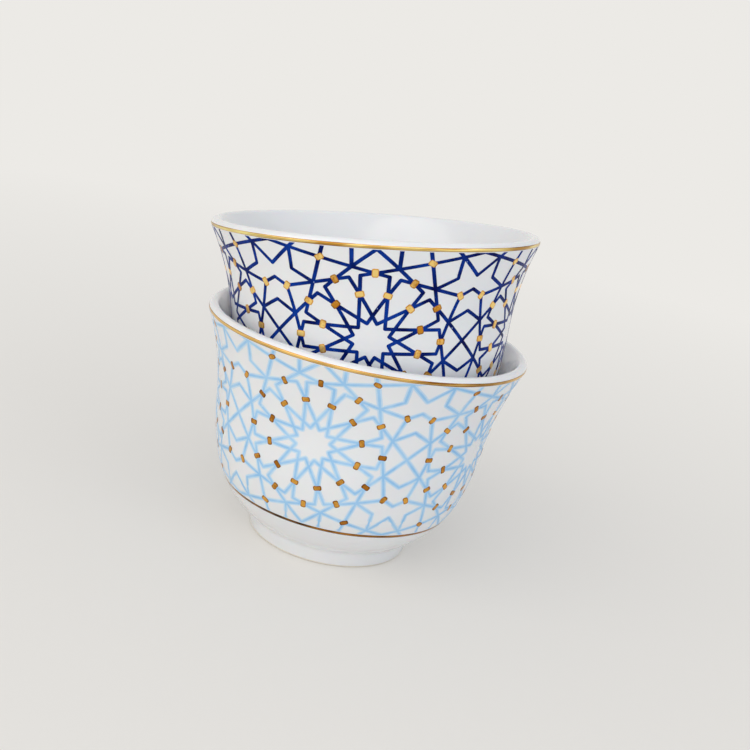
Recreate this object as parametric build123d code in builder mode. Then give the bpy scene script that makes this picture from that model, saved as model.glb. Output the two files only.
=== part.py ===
from build123d import *
import os
from math import cos, radians, sin

# Two handleless porcelain coffee cups of one set, the upper one nested in the lower.
# Sizes in mm. Each cup stands on its foot at height 0 of its own upright axis.

# One cup: lip, flare and wall
cup_height = 45.2
rim_radius = 32.5  # widest point, on the lip
lip_thickness = 2.0  # the lip is fully rounded
lip_outer_count = 3  # flats that draw the small round of the lip
lip_inner_count = 2
flare_angle = 24.0  # lean of the outside just under the lip, from upright
flare_radius = 55.0  # the lip curves out from the wall on this arc
wall_angle = 6.3  # lean of the straight part of the wall
wall_thickness = 3.3
lip_inner_angle = 35.0  # lean of the inside just under the lip

# One cup: belly, bowl and foot
shoulder_height = 24.0  # the straight wall ends here and the belly begins
belly_radius = 52.0
belly_angle = 10.5  # how far the belly turns in before the bowl
foot_height = 3.4
foot_radius = 17.2  # at the top of the foot ring
foot_base_radius = 16.5  # on the table
foot_ring_width = 2.6
foot_recess = 2.3  # depth of the hollow inside the foot ring
foot_chamfer = 0.4
floor_thickness = 3.8
well_radius = 15.0  # round corner between floor and wall, inside
well_count = 6  # flats in that corner

# Gold lines, each a fired-on film on the outside of the wall
film_thickness = 0.05
rim_line_depth = 0.78  # from the top of the lip to the gold line
rim_line_width = 0.62
foot_line_height = 10.3  # from the table to the lower edge of the gold line
foot_line_width = 0.5

# How the upper cup sits in the lower one
nest_tilt = 8.4  # its top leans towards -X
nest_shift = 3.55  # its foot stands this far towards +X
nest_clearance = 0.3  # least gap between the two walls
seat_tolerance = 0.01

lip_radius = lip_thickness / 2
lip_centre = Vector(rim_radius - lip_radius, cup_height - lip_radius)
floor_height = foot_recess + floor_thickness


def outward(angle):
    # the way a wall that leans by this angle faces, in the section
    return Vector(cos(radians(angle)), -sin(radians(angle)))


def downward(angle):
    # the way down along a wall that leans by this angle, in the section
    return Vector(-sin(radians(angle)), -cos(radians(angle)))


def flats(arc, count):
    # an arc as a few straight runs between points on it
    return Polyline([arc @ (step / count) for step in range(count + 1)])


def outside_section():
    # the cup without its hollow, from the axis to the outside
    with BuildSketch() as section:
        with BuildLine():
            lip = CenterArc(lip_centre, lip_radius, 90, -90 - flare_angle, mode=Mode.PRIVATE)
            flats(lip, lip_outer_count)
            flare = JernArc(lip @ 1, downward(flare_angle), flare_radius, flare_angle - wall_angle)
            wall_drop = (flare @ 1).Y - shoulder_height
            wall = PolarLine(flare @ 1, wall_drop, -90 - wall_angle, length_mode=LengthMode.VERTICAL)
            belly = JernArc(wall @ 1, downward(wall_angle), belly_radius, -belly_angle)
            bowl = TangentArc(belly @ 1, (foot_radius, foot_height), tangent=belly % 1)
            Polyline(bowl @ 1, (foot_base_radius, 0), (0, 0), (0, cup_height), lip @ 0)
        make_face()
    return section.sketch


def hollow_section():
    # the space inside the cup, one wall thickness in from the outside
    waist = lip_centre + outward(flare_angle) * (lip_radius + flare_radius) - outward(wall_angle) * flare_radius
    inner_waist = waist - outward(wall_angle) * wall_thickness
    well_drop = inner_waist.Y - floor_height - well_radius * (1 - sin(radians(wall_angle)))
    with BuildSketch() as section:
        with BuildLine():
            lip = CenterArc(lip_centre, lip_radius, 90, 90 - lip_inner_angle, mode=Mode.PRIVATE)
            flats(lip, lip_inner_count)
            TangentArc(inner_waist, lip @ 1, tangent=downward(wall_angle) * -1)
            wall = PolarLine(inner_waist, well_drop, -90 - wall_angle, length_mode=LengthMode.VERTICAL)
            well = JernArc(wall @ 1, downward(wall_angle), well_radius, wall_angle - 90, mode=Mode.PRIVATE)
            flats(well, well_count)
            Polyline(well @ 1, (0, floor_height), (0, cup_height), lip @ 0)
        make_face()
    return section.sketch


def cup_axis(plane):
    return Axis(plane.origin, plane.y_dir)


def cup_body(plane):
    # one casting: wall, lip, bowl, floor and foot ring
    with BuildPart() as body:
        with BuildSketch(plane):
            add(outside_section())
            add(hollow_section(), mode=Mode.SUBTRACT)
            Rectangle(2 * (foot_base_radius - foot_ring_width), 2 * foot_recess, mode=Mode.SUBTRACT)
        revolve(axis=cup_axis(plane))
        foot_face = body.faces().filter_by(GeomType.PLANE).sort_by(cup_axis(plane))[0]
        chamfer(foot_face.edges(), length=foot_chamfer)
    return body.part


def gold_line(plane, low, width):
    # a thin film that follows the outside of the cup
    with BuildPart() as line:
        with BuildSketch(plane):
            add(outside_section())
            offset(amount=film_thickness, kind=Kind.INTERSECTION)
            add(outside_section(), mode=Mode.SUBTRACT)
            with Locations((rim_radius, low + width / 2)):
                Rectangle(2 * rim_radius, width, mode=Mode.INTERSECT)
        revolve(axis=cup_axis(plane))
    return line.part


def cup_pieces(name, plane):
    rim_line_low = cup_height - rim_line_depth - rim_line_width
    return {
        f"{name}_cup_body": cup_body(plane),
        f"{name}_rim_gilding": gold_line(plane, rim_line_low, rim_line_width),
        f"{name}_foot_gilding": gold_line(plane, foot_line_height, foot_line_width),
    }


def nested_plane(height):
    # the section plane of a cup that leans in the lower cup, its foot centred at this height
    lean = radians(nest_tilt)
    return Plane(origin=(nest_shift, 0, height), x_dir=(cos(lean), 0, sin(lean)), z_dir=(0, -1, 0))


def seat_height(lower_body):
    # the lowest height at which the leaning cup is still one clearance from the lower cup
    clear = cup_height
    tight = 0
    while clear - tight > seat_tolerance:
        middle = (clear + tight) / 2
        gap = lower_body.distance_to(cup_body(nested_plane(middle)))
        if gap < nest_clearance:
            tight = middle
        else:
            clear = middle
    return clear


pieces = cup_pieces("lower", Plane.XZ)
upper_foot_height = seat_height(pieces["lower_cup_body"])
print(f"upper cup's foot centre at {upper_foot_height:.2f} mm")
pieces.update(cup_pieces("upper", nested_plane(upper_foot_height)))

os.makedirs("parts", exist_ok=True)
for name, piece in pieces.items():
    piece.label = name
    export_step(piece, f"parts/{name}.step")
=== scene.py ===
from bisect import bisect_right
from math import atan2, cos, degrees, pi, radians, sin, sqrt, tan

import bmesh
import bpy
from mathutils import Matrix, Vector, kdtree, noise
from mathutils.geometry import delaunay_2d_cdt


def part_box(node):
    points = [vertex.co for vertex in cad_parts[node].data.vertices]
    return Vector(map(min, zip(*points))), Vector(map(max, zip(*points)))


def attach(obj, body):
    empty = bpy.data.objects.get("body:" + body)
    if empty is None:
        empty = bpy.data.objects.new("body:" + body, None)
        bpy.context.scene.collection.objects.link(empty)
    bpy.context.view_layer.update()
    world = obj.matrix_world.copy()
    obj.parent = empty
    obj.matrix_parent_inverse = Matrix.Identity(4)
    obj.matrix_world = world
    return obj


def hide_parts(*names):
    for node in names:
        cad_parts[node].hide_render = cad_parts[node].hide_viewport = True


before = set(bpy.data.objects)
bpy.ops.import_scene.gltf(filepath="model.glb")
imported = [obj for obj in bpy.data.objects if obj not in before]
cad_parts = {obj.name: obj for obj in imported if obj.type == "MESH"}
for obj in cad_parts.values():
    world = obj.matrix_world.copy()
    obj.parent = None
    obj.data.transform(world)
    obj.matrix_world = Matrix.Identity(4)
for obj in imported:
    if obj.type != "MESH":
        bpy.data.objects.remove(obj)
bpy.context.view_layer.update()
mm = 0.001
print("frame loaded:", ", ".join(sorted(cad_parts)))


def hexColour(text):  # sRGB hex to linear
    values = [int(text[i:i + 2], 16) / 255 for i in (1, 3, 5)]
    return [v / 12.92 if v <= 0.04045 else ((v + 0.055) / 1.055) ** 2.4 for v in values] + [1.0]


def perMetre(sizeMm):  # texture scale for a pattern of this size
    return 1 / (sizeMm * mm)


def addNode(tree, kind, sockets=None, **settings):  # each socket takes a link or a fixed value
    node = tree.nodes.new(kind)
    for key, value in settings.items():
        setattr(node, key, value)
    for key, value in (sockets or {}).items():
        if isinstance(value, bpy.types.NodeSocket):
            tree.links.new(value, node.inputs[key])
        else:
            node.inputs[key].default_value = value
    return node


mixFirst, mixSecond, mixResult = 6, 7, 2  # places of the colour sockets on a Mix node


def emptyTree(owner):
    owner.use_nodes = True
    owner.node_tree.nodes.clear()
    return owner.node_tree


def newMaterial(name, sockets):  # a shader with its fixed values on its own sockets
    material = bpy.data.materials.new(name)
    tree = emptyTree(material)
    surface = addNode(tree, "ShaderNodeBsdfPrincipled", sockets)
    addNode(tree, "ShaderNodeOutputMaterial", {"Surface": surface.outputs["BSDF"]})
    coords = addNode(tree, "ShaderNodeTexCoord").outputs["Object"]
    return material, tree, surface, coords


# Section of one cup, in mm and degrees: the sizes of the solids, with true rounds
cupShape = {
    "height": 45.2, "rimRadius": 32.5, "lipRadius": 1.0, "flareAngle": 24.0, "flareRadius": 55.0,
    "wallAngle": 6.3, "wallThickness": 3.3, "lipInnerAngle": 35.0, "shoulderHeight": 24.0,
    "bellyRadius": 52.0, "bellyAngle": 10.5, "footHeight": 3.4, "footRadius": 17.2,
    "footBaseRadius": 16.5, "footRingWidth": 2.6, "footRecess": 2.3, "footEdge": 0.4,
    "recessRound": 0.8, "creaseRound": 0.9,
    "floorThickness": 3.8, "wellRadius": 15.0, "wipeMargin": 0.1, "axisReach": 1e-6, "sharpAngle": 35,
}
# How finely each run of the section is divided, and the turn round the axis
cupSteps = {
    "lip": 24, "flare": 24, "wall": 10, "belly": 14, "bowl": 28, "corner": 8, "recess": 6,
    "floor": 6, "well": 24, "innerWall": 8, "innerFlare": 20, "innerLip": 14, "turns": 240,
}


def outward(angle):  # the way a wall that leans by this angle faces
    return Vector((cos(radians(angle)), -sin(radians(angle))))


def downward(angle):  # the way down along that wall
    return Vector((-sin(radians(angle)), -cos(radians(angle))))


def wallDrop(angle, drop):  # the step down that wall that loses this much height
    return Vector((-tan(radians(angle)), -1)) * drop


def arc(centre, radius, start, end, count):  # angles in degrees, from +r towards +z
    steps = [start + (end - start) * i / count for i in range(count + 1)]
    return [centre + radius * Vector((cos(radians(a)), sin(radians(a)))) for a in steps]


def rounded(before, corner, after, size):  # a soft corner between two points
    start = corner + (before - corner).normalized() * size
    end = corner + (after - corner).normalized() * size
    steps = [i / cupSteps["corner"] for i in range(cupSteps["corner"] + 1)]
    return [start * (1 - t) ** 2 + corner * 2 * t * (1 - t) + end * t * t for t in steps]


def tangentArc(start, heading, end, count):  # leaves start along heading and reaches end
    normal = Vector((heading.y, -heading.x))
    chord = end - start
    radius = chord.dot(chord) / (2 * chord.dot(normal))
    centre = start + normal * radius
    first = atan2(start.y - centre.y, start.x - centre.x)
    last = atan2(end.y - centre.y, end.x - centre.x)
    if last - first > pi:
        last -= 2 * pi
    if first - last > pi:
        last += 2 * pi
    steps = [first + (last - first) * i / count for i in range(count + 1)]
    return [centre + abs(radius) * Vector((cos(a), sin(a))) for a in steps]


def lipCentre(c):
    return Vector((c["rimRadius"] - c["lipRadius"], c["height"] - c["lipRadius"]))


def outsideLine(c, steps):  # from the top of the lip down to the crease above the foot
    lip = lipCentre(c)
    flareCentre = lip + outward(c["flareAngle"]) * (c["lipRadius"] + c["flareRadius"])
    waist = flareCentre - outward(c["wallAngle"]) * c["flareRadius"]
    shoulder = waist + wallDrop(c["wallAngle"], waist.y - c["shoulderHeight"])
    bellyCentre = shoulder - outward(c["wallAngle"]) * c["bellyRadius"]
    bellyEnd = c["wallAngle"] + c["bellyAngle"]
    foot = Vector((c["footRadius"], c["footHeight"]))
    points = arc(lip, c["lipRadius"], 90, -c["flareAngle"], steps["lip"])
    flareStart, flareEnd = 180 - c["flareAngle"], 180 - c["wallAngle"]
    points += arc(flareCentre, c["flareRadius"], flareStart, flareEnd, steps["flare"])[1:]
    points += [waist.lerp(shoulder, i / steps["wall"]) for i in range(1, steps["wall"] + 1)]
    points += arc(bellyCentre, c["bellyRadius"], -c["wallAngle"], -bellyEnd, steps["belly"])[1:]
    return points + tangentArc(points[-1], downward(bellyEnd), foot, steps["bowl"])[1:], waist


def insideLine(c, steps, waist):  # from the floor's centre up to the top of the lip
    floor = c["footRecess"] + c["floorThickness"]
    innerWaist = waist - outward(c["wallAngle"]) * c["wallThickness"]
    wellTop = floor + c["wellRadius"] * (1 - sin(radians(c["wallAngle"])))
    wellSide = innerWaist + wallDrop(c["wallAngle"], innerWaist.y - wellTop)
    wellCentre = wellSide - outward(c["wallAngle"]) * c["wellRadius"]
    wellEdge = Vector((wellCentre.x, floor))
    lip = arc(lipCentre(c), c["lipRadius"], 180 - c["lipInnerAngle"], 90, steps["innerLip"])
    points = [Vector((0, floor)).lerp(wellEdge, i / steps["floor"]) for i in range(steps["floor"])]
    points += arc(wellCentre, c["wellRadius"], -90, -c["wallAngle"], steps["well"])
    wall = steps["innerWall"]
    points += [wellSide.lerp(innerWaist, i / wall) for i in range(1, wall + 1)]
    points += tangentArc(innerWaist, -downward(c["wallAngle"]), lip[0], steps["innerFlare"])[1:-1]
    return points + lip


def footLine(c, steps, crease):  # from the crease down the foot ring and in under the floor
    base = Vector((c["footBaseRadius"], 0))
    inner = Vector((base.x - c["footRingWidth"], 0))
    corner = Vector((inner.x, c["footRecess"]))
    middle = Vector((0, c["footRecess"]))
    points = rounded(crease, base, inner, c["footEdge"])
    points += rounded(base, inner, corner, c["footEdge"])
    points += rounded(inner, corner, middle, c["recessRound"])
    return points + [corner.lerp(middle, i / steps["recess"]) for i in range(1, steps["recess"] + 1)]


outside, waistPoint = outsideLine(cupShape, cupSteps)
inside = insideLine(cupShape, cupSteps, waistPoint)

# Distance down the outside from the top of the lip, at each point of that line
wallRun = [0.0]
for first, second in zip(outside, outside[1:]):
    wallRun.append(wallRun[-1] + (second - first).length)
print(f"section drawn: {len(inside)} points inside, {len(outside)} outside")


def wallAt(run):  # the wall's place and facing at that distance
    i = min(max(bisect_right(wallRun, run) - 1, 0), len(outside) - 2)
    t = (run - wallRun[i]) / (wallRun[i + 1] - wallRun[i])
    along = (outside[i + 1] - outside[i]).normalized()
    return outside[i].lerp(outside[i + 1], t), Vector((-along.y, along.x))


def runAtHeight(height):
    for i in range(len(outside) - 1):
        if outside[i].y >= height >= outside[i + 1].y:
            t = (outside[i].y - height) / (outside[i].y - outside[i + 1].y)
            return wallRun[i] + (wallRun[i + 1] - wallRun[i]) * t


# Where each cup stands, in mm and degrees, and how its print is turned and how far down its rosettes lie
cups = {
    "lower": {
        "body": "lower_cup", "tilt": 0.0, "shift": 0.0, "turn": -86.0, "centreRun": 18.55, "seed": 3.0,
    },
    "upper": {
        "body": "upper_cup", "tilt": 8.4, "shift": 3.55, "turn": -71.9, "centreRun": 19.25, "seed": 11.0,
    },
}
for name, cup in cups.items():
    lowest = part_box(name + "_cup_body")[0].z
    edgeRadius = cupShape["footBaseRadius"] - cupShape["footEdge"]
    seat = lowest + edgeRadius * mm * sin(radians(cup["tilt"]))
    lean = Matrix.Rotation(radians(-cup["tilt"]), 4, "Y")
    cup["place"] = Matrix.Translation((cup["shift"] * mm, 0, seat)) @ lean


def placed(cup, angle, point):  # a point of the section, turned by angle, in the row's frame
    r, z = point
    return cup["place"] @ Vector((r * cos(angle) * mm, r * sin(angle) * mm, z * mm))


def finishPiece(name, shape, materials, body, sharpAngle, replaced=None):
    mesh = bpy.data.meshes.new(name)
    shape.to_mesh(mesh)
    shape.free()
    mesh.validate()
    for material in materials:
        mesh.materials.append(material)
    mesh.polygons.foreach_set("use_smooth", [True] * len(mesh.polygons))
    mesh.set_sharp_from_angle(angle=radians(sharpAngle))
    piece = bpy.data.objects.new(name, mesh)
    bpy.context.scene.collection.objects.link(piece)
    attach(piece, body)
    if replaced:
        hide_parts(replaced)
    print(f"{name}: {len(mesh.polygons)} faces")


# Hard-paste porcelain, slip cast and dipped in clear glaze: cool white, mirror-like, with a faint ripple
def porcelainMaterial():
    look = {
        "white": "#F1F3F6", "shade": "#E6EAEF", "cloudMm": 14.0, "rippleMm": 2.6, "rippleDepthMm": 0.2,
    }
    material, tree, surface, coords = newMaterial("clear glazed porcelain", {
        "Roughness": 0.32, "IOR": 1.5, "Coat Weight": 1.0, "Coat Roughness": 0.05,
        "Subsurface Weight": 0.12, "Subsurface Scale": 0.0012})
    cloud = addNode(tree, "ShaderNodeTexNoise", {
        "Vector": coords, "Scale": perMetre(look["cloudMm"]), "Detail": 3.0})
    tone = addNode(tree, "ShaderNodeMix", {
        "Factor": cloud.outputs["Fac"], mixFirst: hexColour(look["shade"]),
        mixSecond: hexColour(look["white"])}, data_type="RGBA")
    ripple = addNode(tree, "ShaderNodeTexNoise", {
        "Vector": coords, "Scale": perMetre(look["rippleMm"]), "Detail": 1.0})
    bump = addNode(tree, "ShaderNodeBump", {
        "Height": ripple.outputs["Fac"], "Strength": 0.06, "Distance": look["rippleDepthMm"] * mm})
    tree.links.new(tone.outputs[mixResult], surface.inputs["Base Color"])
    tree.links.new(bump.outputs["Normal"], surface.inputs["Normal"])
    tree.links.new(bump.outputs["Normal"], surface.inputs["Coat Normal"])
    return material


# Unglazed porcelain on the wiped foot: matt, a little warmer, with a sandy grain that is drawn coarser
# than the real one so that it shows
def bisqueMaterial():
    look = {"body": "#E4DED2", "grainMm": 0.25, "grainDepthMm": 0.05}
    material, tree, surface, coords = newMaterial("bare bisque", {
        "Base Color": hexColour(look["body"]), "Roughness": 0.85})
    grain = addNode(tree, "ShaderNodeTexNoise", {
        "Vector": coords, "Scale": perMetre(look["grainMm"]), "Detail": 2.0})
    bump = addNode(tree, "ShaderNodeBump", {
        "Height": grain.outputs["Fac"], "Strength": 0.3, "Distance": look["grainDepthMm"] * mm})
    tree.links.new(bump.outputs["Normal"], surface.inputs["Normal"])
    return material


# Fired bright gold, laid on as a thin film: metal that goes from honey to brown where the film is thin,
# with a grain that is drawn coarser than the real one so that it shows. The colours also hold painted
# light: the palest tones are painted highlights and the darkest browns painted reflection and painted
# shade
def goldMaterial(name, thick, thin, look):
    material, tree, surface, coords = newMaterial(name, {"Metallic": 1.0, "Roughness": 0.28})
    along, across = look["strokeMm"]
    if along == across:  # stamped, so the film is blotchy
        laid = addNode(tree, "ShaderNodeMapping", {"Vector": coords, "Scale": [perMetre(along)] * 3})
    else:  # brushed, so it is streaked along the line
        brush = addNode(tree, "ShaderNodeUVMap", uv_map="brushMm")
        laid = addNode(tree, "ShaderNodeMapping", {
            "Vector": brush.outputs["UV"], "Scale": (1 / along, 1 / across, 1)})
    stroke = addNode(tree, "ShaderNodeTexNoise", {
        "Vector": laid.outputs["Vector"], "Scale": 1.0, "Detail": 4.0, "Roughness": 0.6})
    patch = addNode(tree, "ShaderNodeTexNoise", {
        "Vector": coords, "Scale": perMetre(look["patchMm"]), "Detail": 1.0})
    film = addNode(tree, "ShaderNodeMath", {
        0: patch.outputs["Fac"], 1: look["patchShare"],
        2: stroke.outputs["Fac"]}, operation="MULTIPLY_ADD")
    cover = addNode(tree, "ShaderNodeMapRange", {
        "Value": film.outputs[0], "From Min": look["bare"], "From Max": look["full"]})
    # thin to thick film, which is also painted reflection and shade to painted highlight
    tone = addNode(tree, "ShaderNodeMix", {
        "Factor": cover.outputs["Result"], mixFirst: hexColour(thin),
        mixSecond: hexColour(thick)}, data_type="RGBA")
    grain = addNode(tree, "ShaderNodeTexNoise", {
        "Vector": coords, "Scale": perMetre(look["grainMm"]), "Detail": 2.0})
    bump = addNode(tree, "ShaderNodeBump", {
        "Height": grain.outputs["Fac"], "Strength": 0.3, "Distance": look["grainDepthMm"] * mm})
    tree.links.new(tone.outputs[mixResult], surface.inputs["Base Color"])
    tree.links.new(bump.outputs["Normal"], surface.inputs["Normal"])
    return material


# Ceramic transfer fired into the glaze: even colour, cloudy where the film lay thin, with pinholes
def transferMaterial(name, full, thin, pinhole):
    look = {
        "cloudMm": 3.0, "cloudLow": 0.34, "cloudHigh": 0.66, "pinholeMm": 2.4, "pinholeShare": 0.05,
    }
    material, tree, surface, coords = newMaterial(name, {
        "Roughness": 0.25, "IOR": 1.5, "Specular IOR Level": 0.05})
    cloud = addNode(tree, "ShaderNodeTexNoise", {
        "Vector": coords, "Scale": perMetre(look["cloudMm"]), "Detail": 3.0})
    spread = addNode(tree, "ShaderNodeMapRange", {
        "Value": cloud.outputs["Fac"], "From Min": look["cloudLow"], "From Max": look["cloudHigh"]})
    tone = addNode(tree, "ShaderNodeMix", {
        "Factor": spread.outputs["Result"], mixFirst: hexColour(full),
        mixSecond: hexColour(thin)}, data_type="RGBA")
    cells = addNode(tree, "ShaderNodeTexVoronoi", {
        "Vector": coords, "Scale": perMetre(look["pinholeMm"])})
    hole = addNode(tree, "ShaderNodeMath", {
        0: cells.outputs["Distance"], 1: look["pinholeShare"]}, operation="LESS_THAN")
    spots = addNode(tree, "ShaderNodeMix", {
        "Factor": hole.outputs[0], mixFirst: tone.outputs[mixResult],
        mixSecond: hexColour(pinhole)}, data_type="RGBA")
    tree.links.new(spots.outputs[mixResult], surface.inputs["Base Color"])
    return material


porcelain = porcelainMaterial()
bisque = bisqueMaterial()

# How the gold was laid on: along and across a stroke, in mm, and the film that counts as bare and as
# full.
# Bare gives the darker colour, partly painted reflection and shade, and full the paler, partly painted
# highlight
stamped = {
    "strokeMm": (0.5, 0.5), "patchMm": 5.0, "patchShare": 2.2, "bare": 1.22, "full": 1.74,
    "grainMm": 0.22, "grainDepthMm": 0.03,
}
brushed = {
    "strokeMm": (9.0, 0.22), "patchMm": 12.0, "patchShare": 1.0, "bare": 0.82, "full": 1.12,
    "grainMm": 0.4, "grainDepthMm": 0.03,
}
# The foot line's look: brush streaks, whose dark share is painted shade and painted reflection
footStreaksAndShade = {
    "strokeMm": (2.6, 0.3), "patchMm": 12.0, "patchShare": 1.0, "bare": 0.84, "full": 1.14,
    "grainMm": 0.4, "grainDepthMm": 0.03,
}
prints = {
    "lower": {
        "slot": "sky_print",
        "ink": transferMaterial("sky blue transfer", "#99CAF4", "#AED7F8", "#D5EAF8"),
        "bleed": transferMaterial(
            "sky blue transfer, bled into the glaze", "#C0DDF6", "#CCE4F8", "#E0EDF8"),
        # darker, browner gold than the upper cup's: thin film, and partly painted shade and reflection
        "gold": goldMaterial("fired gold, thin and brown", "#EBAC4C", "#B47226", stamped),
        "goldEdge": goldMaterial("fired gold, thin edge", "#A46820", "#6E400C", stamped),
    },
    "upper": {
        "slot": "navy_print",
        "ink": transferMaterial("navy transfer", "#000B4E", "#083796", "#8FA3D8"),
        # lighter, yellower gold than the lower cup's: full film, and partly painted highlight
        "gold": goldMaterial("fired gold, full and bright", "#FFDC86", "#CC8A2E", stamped),
        "goldEdge": goldMaterial("fired gold, full edge", "#E8AA48", "#96601A", stamped),
    },
}
# Foot line colours: near-black browns that are painted shade and painted reflection, over a brown gold
# film
footGold = [
    goldMaterial("brushed gold foot line", "#B4782E", "#241002", footStreaksAndShade),
    goldMaterial("brushed gold foot line, thin edge", "#7A4812", "#1E0E02", footStreaksAndShade),
]
# Rim lines: the upper gold is a lighter copy of the lower, painted light; pale yellow is painted
# highlight
lineGold = {
    "lowerRim": [
        goldMaterial("brushed gold rim line", "#F2C97A", "#8A581C", brushed),
        goldMaterial("brushed gold rim line, thin edge", "#B8823A", "#5E380C", brushed),
    ],
    "upperRim": [
        goldMaterial("brushed gold rim line, bright", "#FFF0A0", "#B8883C", brushed),
        goldMaterial("brushed gold rim line, bright edge", "#D8A450", "#7A4C14", brushed),
    ],
    "lowerFoot": footGold,
    "upperFoot": footGold,
}
print("porcelain, transfer and gold mixed")


# Body: the whole section turned round the cup's axis, bare where the foot was wiped
def makeBody(name, cup):
    crease = outside[-1]
    base = Vector((cupShape["footBaseRadius"], 0))
    bowl = [p for p in outside if (p - crease).length > cupShape["creaseRound"]]
    soft = rounded(outside[-2], crease, base, cupShape["creaseRound"])
    section = inside[:-1] + bowl + soft + footLine(cupShape, cupSteps, crease)
    wipedRadius = base.x - cupShape["footRingWidth"] - cupShape["wipeMargin"]
    turns = cupSteps["turns"]
    shape = bmesh.new()
    rings = []
    for point in section:
        if point.x < cupShape["axisReach"]:  # the section's two ends lie on the axis
            rings.append([shape.verts.new(placed(cup, 0, (0, point.y)))] * turns)
        else:
            rings.append([shape.verts.new(placed(cup, 2 * pi * j / turns, point)) for j in range(turns)])
    for point, ring, following in zip(section, rings, rings[1:]):
        wiped = point.y < cupShape["footEdge"] and point.x > wipedRadius
        for j in range(turns):
            k = (j + 1) % turns
            corners = dict.fromkeys([ring[j], following[j], following[k], ring[k]])
            shape.faces.new(list(corners)).material_index = 1 if wiped else 0
    bmesh.ops.recalc_face_normals(shape, faces=shape.faces)
    finishPiece(name + "Porcelain", shape, [porcelain, bisque], cup["body"],
                cupShape["sharpAngle"], name + "_cup_body")


def onWall(cup, angle, run, lift):  # a point lifted off the outside, this far down from the lip
    point, facing = wallAt(run)
    return placed(cup, angle, point + facing * lift)


# Gold lines: brushed by hand on a turning wheel, so their edges wander a little, heights and sizes in mm
goldLines = {
    "rim": {"top": 44.42, "low": 43.76, "wander": 0.05},
    "foot": {"top": 10.86, "low": 10.24, "wander": 0.05},
}
# The film's own section, with its back set in by tuck, and where the lower edge reads its noise
goldFilm = {
    "thickness": 0.015, "turns": 360, "across": 6, "crown": 4, "tuck": 0.05, "wanderRate": 4,
    "lowDraw": Vector((0, 0, 7)), "sharpAngle": 50,
}


def makeGoldLine(name, cup, lineName):
    line = goldLines[lineName]
    turns, across, tuck, thickness = (goldFilm[key] for key in ("turns", "across", "tuck", "thickness"))
    top, low = runAtHeight(line["top"]), runAtHeight(line["low"])
    girth = 2 * pi * wallAt(top)[0].x
    shape = bmesh.new()
    brush = shape.loops.layers.uv.new("brushMm")  # mm along and across the line
    section = []
    for i in range(across + 1):  # the film has a low crown
        t = i / across
        section.append((t, thickness * sqrt(1 - (2 * t - 1) ** goldFilm["crown"])))
    section += [(1 - tuck, -thickness), (tuck, -thickness)]  # and its back is in the glaze
    rings = []
    for j in range(turns):
        angle = 2 * pi * j / turns
        spot = Vector((cos(angle), sin(angle), cup["seed"])) * goldFilm["wanderRate"]
        start = top + line["wander"] * noise.noise(spot)
        end = low + line["wander"] * noise.noise(spot + goldFilm["lowDraw"])
        points = [onWall(cup, angle, start + (end - start) * t, lift) for t, lift in section]
        rings.append([shape.verts.new(point) for point in points])
    for j in range(turns):
        ring, following = rings[j], rings[(j + 1) % turns]
        for i in range(len(ring)):
            k = (i + 1) % len(ring)
            face = shape.faces.new((ring[i], following[i], following[k], ring[k]))
            face.material_index = 0 if 0 < i < across - 1 else 1  # the brush leaves less at the edges
            for loop, (turn, step) in zip(face.loops, ((j, i), (j + 1, i), (j + 1, i + 1), (j, i + 1))):
                loop[brush].uv = (turn / turns * girth, step / across * (low - top))
    bmesh.ops.recalc_face_normals(shape, faces=shape.faces)
    label = name + lineName.capitalize()
    finishPiece(label + "Line", shape, lineGold[label], cup["body"],
                goldFilm["sharpAngle"], f"{name}_{lineName}_gilding")


# Lattice: a traditional twelve-fold star pattern, drawn in units of half the distance between rosettes.
# A unit is a tenth of a turn round the cup and unitMm down the wall.
lattice = {
    "rosettes": 5, "unitMm": 17.2, "outerRing": 0.732, "innerRing": 0.507, "spurStart": 0.8165,
    "spur": 0.244, "armEnd": 1.1547, "armAngles": (30, 150, 210, 330), "topMarginMm": 0.14,
    "lowMarginMm": 0.2, "sharpAngle": 35,
}
# How the flat pattern is cut into triangles, in the same units
latticeCut = {
    "capSides": 6, "columns": 20, "rows": 16, "overlap": 0.1, "strokeReach": 0.05,
    "crossingReach": 1e-6, "joinReach": 3e-4,
    "outlinesOnly": 2, "wholeSheet": 0,  # what the triangulation gives back
}
# Line width and the heights of its back and front off the wall, in mm. The sky blue runs a little in the
# firing, so a paler and wider line lies under it.
printLayers = {
    "lower": [
        {"ink": "bleed", "lineMm": 0.94, "low": -0.03, "high": 0.02},
        {"ink": "ink", "lineMm": 0.43, "low": 0.01, "high": 0.035},
    ],
    "upper": [{"ink": "ink", "lineMm": 0.65, "low": -0.03, "high": 0.03}],
}
starPoints = 12
starStep = 360 / starPoints  # degrees from one point of a star to the next
petal = lattice["innerRing"] * sin(radians(starStep / 2))  # half the width of a petal


def polar(centre, radius, angle):
    return Vector((centre[0] + radius * cos(radians(angle)), centre[1] + radius * sin(radians(angle))))


def rosetteStrokes(centre, arms):
    strokes = []
    shoulderRun = lattice["outerRing"] - petal * tan(radians(starStep / 2))
    for k in range(starPoints):
        axis = starStep * k
        for side in (1, -1):
            shoulder = polar(polar(centre, shoulderRun, axis), petal, axis + 90 * side)
            strokes.append((shoulder, polar(centre, sqrt(2) * petal, axis + 45 * side)))
            strokes.append((polar(centre, 1, axis - starStep * side), shoulder))
        spurAxis = axis if k % 2 else axis + starStep
        start = polar(centre, lattice["spurStart"], axis + starStep / 2)
        strokes.append((start, polar(start, lattice["spur"], spurAxis)))
    if arms:
        for angle in lattice["armAngles"]:
            strokes.append((polar(centre, 1, angle), polar(centre, lattice["armEnd"], angle)))
    return strokes


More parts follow.
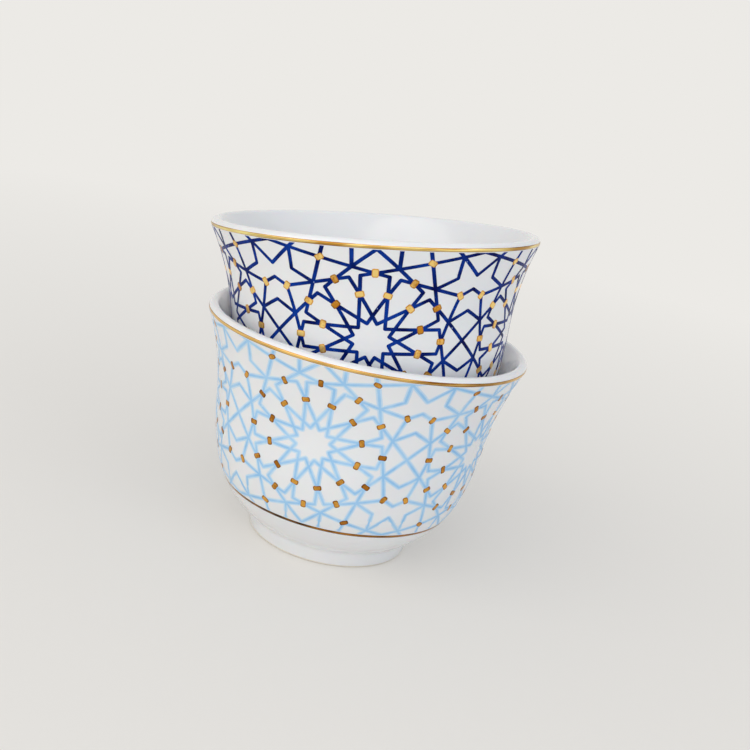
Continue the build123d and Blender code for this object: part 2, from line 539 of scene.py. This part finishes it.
def tileStrokes(low, high):  # the strokes that cross one rosette's share of the print
    centres = [((x, 0), True) for x in (-2, 0, 2)]
    centres += [((x, y * sqrt(3)), False) for x in (-1, 1) for y in (-1, 1)]
    strokes = [stroke for centre, arms in centres for stroke in rosetteStrokes(centre, arms)]
    reach = latticeCut["strokeReach"]
    strokes = [(a, b) for a, b in strokes if max(a.x, b.x) > -1 - reach and min(a.x, b.x) < 1 + reach]
    return [(a, b) for a, b in strokes if max(a.y, b.y) > low - reach and min(a.y, b.y) < high + reach]


def inked(spot, strokes, halfWidth):  # whether a point of the flat pattern lies on a line
    for start, end in strokes:
        run = end - start
        along = min(max((spot - start).dot(run) / run.length_squared, 0), 1)
        if (spot - start - run * along).length < halfWidth:
            return True
    return False


def strokeOutline(start, end, halfWidth):  # a line with round ends
    heading = degrees(atan2(end.y - start.y, end.x - start.x))
    turns = [-90 + 180 * i / latticeCut["capSides"] for i in range(latticeCut["capSides"] + 1)]
    near = [polar(start, halfWidth, heading + 180 + turn) for turn in turns]
    return near + [polar(end, halfWidth, heading + turn) for turn in turns]


def joined(spots, edges):  # crossings that almost fall together become one point
    tree = kdtree.KDTree(len(spots))
    for i, spot in enumerate(spots):
        tree.insert(spot.to_3d(), i)
    tree.balance()
    chosen = {}
    for i, spot in enumerate(spots):
        if i not in chosen:
            for _, near, _ in tree.find_range(spot.to_3d(), latticeCut["joinReach"]):
                chosen.setdefault(near, i)
    kept = sorted(set(chosen.values()))
    number = {i: k for k, i in enumerate(kept)}
    pairs = {tuple(sorted((number[chosen[a]], number[chosen[b]]))) for a, b in edges}
    return [spots[i] for i in kept], [pair for pair in sorted(pairs) if pair[0] != pair[1]]


def latticeTile(low, high, halfWidth):  # one rosette's share of the print as flat triangles
    cut = latticeCut
    strokes = tileStrokes(low, high)
    points, edges = [], []
    for start, end in strokes:
        outline = strokeOutline(start, end, halfWidth)
        first, count = len(points), len(outline)
        points += outline
        edges += [(first + i, first + (i + 1) % count) for i in range(count)]
    for i in range(cut["columns"] + 1):  # a grid, so that the print bends with the wall
        x = -1 + 2 * i / cut["columns"]
        edges.append((len(points), len(points) + 1))
        points += [Vector((x, low - cut["overlap"])), Vector((x, high + cut["overlap"]))]
    for i in range(cut["rows"] + 1):
        y = low + (high - low) * i / cut["rows"]
        edges.append((len(points), len(points) + 1))
        points += [Vector((-1 - cut["overlap"], y)), Vector((1 + cut["overlap"], y))]
    crossed = delaunay_2d_cdt(points, edges, [], cut["outlinesOnly"], cut["crossingReach"])
    spots, edges = joined(crossed[0], crossed[1])
    sheet = delaunay_2d_cdt(spots, edges, [], cut["wholeSheet"], cut["crossingReach"])
    spots, triangles = sheet[0], []
    for triangle in sheet[2]:
        middle = sum((spots[i] for i in triangle), Vector((0, 0))) / 3
        if abs(middle.x) < 1 and low < middle.y < high and inked(middle, strokes, halfWidth):
            triangles.append(triangle)
    return spots, triangles


def openSides(triangles):  # the sides that only one triangle has
    sides = {}
    for a, b, c in triangles:
        for start, end in ((a, b), (b, c), (c, a)):
            if (end, start) in sides:
                del sides[end, start]
            else:
                sides[start, end] = True
    return list(sides)


def onPrint(cup, x, y, lift):  # a point of the flat pattern, on the cup
    angle = radians(cup["turn"]) + x * pi / lattice["rosettes"]
    return onWall(cup, angle, cup["centreRun"] - y * lattice["unitMm"], lift)


def makeLattice(name, cup):
    topRun = runAtHeight(goldLines["rim"]["low"]) + lattice["topMarginMm"]
    lowRun = runAtHeight(goldLines["foot"]["top"]) - lattice["lowMarginMm"]
    top, low = [(cup["centreRun"] - run) / lattice["unitMm"] for run in (topRun, lowRun)]
    shape = bmesh.new()
    for number, layer in enumerate(printLayers[name]):
        spots, triangles = latticeTile(low, top, layer["lineMm"] / lattice["unitMm"] / 2)
        used = sorted({i for triangle in triangles for i in triangle})
        sides = openSides(triangles)
        for tile in range(lattice["rosettes"]):  # each repeat is a closed sheet of its own
            front, back = [
                {i: shape.verts.new(onPrint(cup, spots[i].x + 2 * tile, spots[i].y, lift)) for i in used}
                for lift in (layer["high"], layer["low"])]
            faces = [(front[a], front[b], front[c]) for a, b, c in triangles]
            faces += [(back[c], back[b], back[a]) for a, b, c in triangles]
            faces += [(front[b], front[a], back[a], back[b]) for a, b in sides]
            for corners in faces:
                shape.faces.new(corners).material_index = number
    inks = [prints[name][layer["ink"]] for layer in printLayers[name]]
    finishPiece(name + "Lattice", shape, inks, cup["body"], lattice["sharpAngle"])


# Gold marks: small stamped blocks on the lines, in mm and degrees, no two quite alike, because each reads
# the noise for its size and its turn at a place of its own
markShape = {
    "lower": {"length": 1.58, "width": 1.08, "squareness": 3.6},
    "upper": {"length": 1.66, "width": 1.2, "squareness": 5.0},
}
markFilm = {
    "layers": ((1.0, -0.03), (1.0, 0.021), (0.76, 0.051), (0.5, 0.06)),  # share of the size, height
    "edgeLayers": 2, "sides": 32, "sizeSpread": 0.07, "turnSpread": 4, "drawStep": (1.7, 2.3),
    "turnDraw": Vector((5, 0, 0)), "sharpAngle": 60,
    "seamAngles": (30, 60, 120, 150, 210, 240, 300, 330),  # marks between one rosette and the next
}


def markPlaces():  # place and heading of each gold mark of one rosette
    places = []
    for k in range(starPoints):
        angle = starStep * k + starStep / 2
        places.append((polar((0, 0), lattice["innerRing"], angle), angle + 90))
    for k in range(starPoints):
        places.append((polar((0, 0), lattice["outerRing"], starStep * k), starStep * k))
    return places + [(polar((0, 0), 1, angle), angle + 90) for angle in markFilm["seamAngles"]]


def markOutline(mark):  # a block with soft corners
    square, sides = mark["squareness"], markFilm["sides"]
    outline = []
    for i in range(sides):
        a = 2 * pi * i / sides
        reach = (abs(cos(a)) ** square + abs(sin(a)) ** square) ** (-1 / square)
        outline.append((reach * cos(a) * mark["length"] / 2, reach * sin(a) * mark["width"] / 2))
    return outline


def makeGoldMarks(name, cup):
    outline = markOutline(markShape[name])
    columnStep, tileStep = markFilm["drawStep"]
    sides = markFilm["sides"]
    shape = bmesh.new()
    for tile in range(lattice["rosettes"]):
        for number, (place, heading) in enumerate(markPlaces()):
            spot = Vector((number * columnStep, tile * tileStep, cup["seed"]))
            size = 1 + markFilm["sizeSpread"] * noise.noise(spot)
            turn = radians(heading + markFilm["turnSpread"] * noise.noise(spot + markFilm["turnDraw"]))
            girth = 2 * pi * wallAt(cup["centreRun"] - place.y * lattice["unitMm"])[0].x
            unitAcross = girth / lattice["rosettes"] / 2
            rings = []
            for share, lift in markFilm["layers"]:
                ring = []
                for long, wide in outline:
                    u, v = long * size * share, wide * size * share
                    x = place.x + 2 * tile + (u * cos(turn) - v * sin(turn)) / unitAcross
                    y = place.y + (u * sin(turn) + v * cos(turn)) / lattice["unitMm"]
                    ring.append(shape.verts.new(onPrint(cup, x, y, lift)))
                rings.append(ring)
            shape.faces.new(rings[0][::-1])
            shape.faces.new(rings[-1])
            for step, (lower, upper) in enumerate(zip(rings, rings[1:])):
                for i in range(sides):
                    k = (i + 1) % sides
                    face = shape.faces.new((lower[i], lower[k], upper[k], upper[i]))
                    face.material_index = 1 if step < markFilm["edgeLayers"] else 0  # browner edge
    golds = [prints[name]["gold"], prints[name]["goldEdge"]]
    finishPiece(name + "GoldMarks", shape, golds, cup["body"], markFilm["sharpAngle"])


for name, cup in cups.items():
    makeBody(name, cup)
    makeGoldLine(name, cup, "rim")
    makeGoldLine(name, cup, "foot")
    makeLattice(name, cup)
    makeGoldMarks(name, cup)


# Stage: a pale matt floor that fades into the background, so that no horizon shows, sizes in metres.
# The fade starts at glow under the cups, and follows distance / (distance + halfway) up to faded.
stage = {
    "paper": "#ECEAE6", "glow": 0.2, "halfway": 0.19, "faded": 0.72, "radius": 4.0, "segments": 96,
    "gapMm": 0.02, "fill": "#F4F6FA", "fillStrength": 0.42,
}


def makeStage():
    shape = bmesh.new()
    bmesh.ops.create_circle(shape, cap_ends=True, segments=stage["segments"], radius=stage["radius"])
    mesh = bpy.data.meshes.new("floor")
    shape.to_mesh(mesh)
    shape.free()
    floor = bpy.data.objects.new("floor", mesh)
    bpy.context.scene.collection.objects.link(floor)
    floor.location.z = -stage["gapMm"] * mm
    material = bpy.data.materials.new("matt paper floor")
    tree = emptyTree(material)
    colour = hexColour(stage["paper"])
    paper = addNode(tree, "ShaderNodeBsdfDiffuse", {"Color": colour})
    glow = addNode(tree, "ShaderNodeEmission", {"Color": colour, "Strength": 1.0})
    coords = addNode(tree, "ShaderNodeTexCoord")
    away = addNode(tree, "ShaderNodeVectorMath", {0: coords.outputs["Object"]}, operation="LENGTH")
    distance = away.outputs["Value"]
    beyond = addNode(tree, "ShaderNodeMath", {0: distance, 1: stage["halfway"]}, operation="ADD")
    ratio = addNode(tree, "ShaderNodeMath", {0: distance, 1: beyond.outputs[0]}, operation="DIVIDE")
    fade = addNode(tree, "ShaderNodeMapRange", {
        "Value": ratio.outputs[0], "From Max": stage["faded"], "To Min": stage["glow"]})
    rays = addNode(tree, "ShaderNodeLightPath").outputs
    seen = addNode(tree, "ShaderNodeMath", {
        0: rays["Is Camera Ray"], 1: rays["Is Glossy Ray"]}, operation="MAXIMUM")
    share = addNode(tree, "ShaderNodeMath", {
        0: fade.outputs["Result"], 1: seen.outputs[0]}, operation="MULTIPLY")
    both = addNode(tree, "ShaderNodeMixShader", {
        0: share.outputs[0], 1: paper.outputs[0], 2: glow.outputs[0]})
    addNode(tree, "ShaderNodeOutputMaterial", {"Surface": both.outputs[0]})
    mesh.materials.append(material)


def makeWorld():  # a dim fill on the object, and the floor's own colour behind it
    world = bpy.data.worlds.new("studio")
    bpy.context.scene.world = world
    tree = emptyTree(world)
    rays = addNode(tree, "ShaderNodeLightPath").outputs
    seen = addNode(tree, "ShaderNodeMath", {
        0: rays["Is Camera Ray"], 1: rays["Is Glossy Ray"]}, operation="MAXIMUM")
    seen = addNode(tree, "ShaderNodeMath", {
        0: seen.outputs[0], 1: rays["Is Transmission Ray"]}, operation="MAXIMUM")
    fill = addNode(tree, "ShaderNodeBackground", {
        "Color": hexColour(stage["fill"]), "Strength": stage["fillStrength"]})
    paper = addNode(tree, "ShaderNodeBackground", {"Color": hexColour(stage["paper"]), "Strength": 1.0})
    both = addNode(tree, "ShaderNodeMixShader", {
        0: seen.outputs[0], 1: fill.outputs[0], 2: paper.outputs[0]})
    addNode(tree, "ShaderNodeOutputWorld", {"Surface": both.outputs[0]})


# Lamps: a large soft key from the left front, a cooler fill from the right and one overhead, in metres
lamps = {
    "keyLamp": {"at": (-0.16, -0.48, 0.22), "size": 1.0, "watts": 2.8, "colour": "#FFF8EE"},
    "fillLamp": {"at": (0.44, -0.20, 0.22), "size": 0.5, "watts": 0.55, "colour": "#F3F7FF"},
    "topLamp": {"at": (0.0, 0.05, 0.60), "size": 1.1, "watts": 0.7, "colour": "#FFFFFF"},
}
lampAim = Vector((0, 0, 0.035))  # the middle of the pair


def makeLamps():
    for name, lamp in lamps.items():
        data = bpy.data.lights.new(name, "AREA")
        data.shape = "DISK"
        data.size = lamp["size"]
        data.energy = lamp["watts"]
        data.color = hexColour(lamp["colour"])[:3]
        light = bpy.data.objects.new(name, data)
        bpy.context.scene.collection.objects.link(light)
        light.location = lamp["at"]
        light.rotation_euler = (lampAim - light.location).to_track_quat("-Z", "Y").to_euler()


# Camera: hand-held close above the pair and rolled, so that the lower cup leans to the right
view = {
    "eyeMm": (52.9, -187.9, 90.0), "turn": -15.75, "pitch": -11.46, "roll": 11.9,
    "lens": 47.4, "sensor": 36, "shiftY": -0.1, "nearest": 0.005,
}


def makeCamera():
    data = bpy.data.cameras.new("camera")
    data.sensor_width = view["sensor"]
    data.lens = view["lens"]
    data.shift_y = view["shiftY"]
    data.clip_start = view["nearest"]
    camera = bpy.data.objects.new("camera", data)
    bpy.context.scene.collection.objects.link(camera)
    eye = Matrix.Translation(Vector(view["eyeMm"]) * mm)
    turn = Matrix.Rotation(radians(-view["turn"]), 4, "Z")
    pitch = Matrix.Rotation(radians(90 + view["pitch"]), 4, "X")
    roll = Matrix.Rotation(radians(view["roll"]), 4, "Z")
    camera.matrix_world = eye @ turn @ pitch @ roll
    bpy.context.scene.camera = camera


makeStage()
makeWorld()
makeLamps()
makeCamera()
bpy.context.scene.view_settings.view_transform = "Standard"
print("stage, lamps and camera set")
